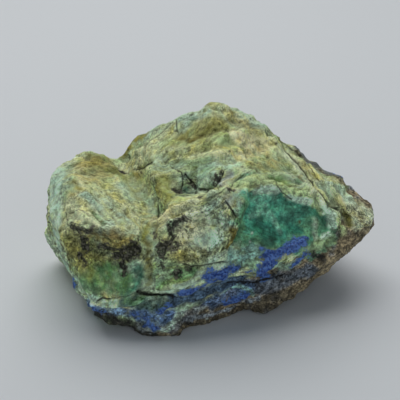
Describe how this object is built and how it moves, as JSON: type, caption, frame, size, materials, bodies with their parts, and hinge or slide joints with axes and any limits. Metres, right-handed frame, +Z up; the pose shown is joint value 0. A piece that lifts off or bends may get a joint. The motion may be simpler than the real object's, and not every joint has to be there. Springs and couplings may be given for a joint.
{
  "type": "chrysocolla specimen",
  "caption": "Hand-sized broken piece of pale green and teal chrysocolla with a blue azurite band on brown rock, resting on a small flat break.",
  "frame": {"origin": "on the flat break that the stone rests on, under the middle of its body", "axes": "+Z up; +X towards the pointed end, along the length; -Y is the face with the blue azurite band"},
  "size_m": [0.0834, 0.0492, 0.0449],
  "materials": {
    "chrysocolla_crust": "natural broken stone, matt to waxy, pale green to teal with deep blue and brown"
  },
  "bodies": {
    "root": {"specimen": "chrysocolla_crust"}
  },
  "joints": []
}
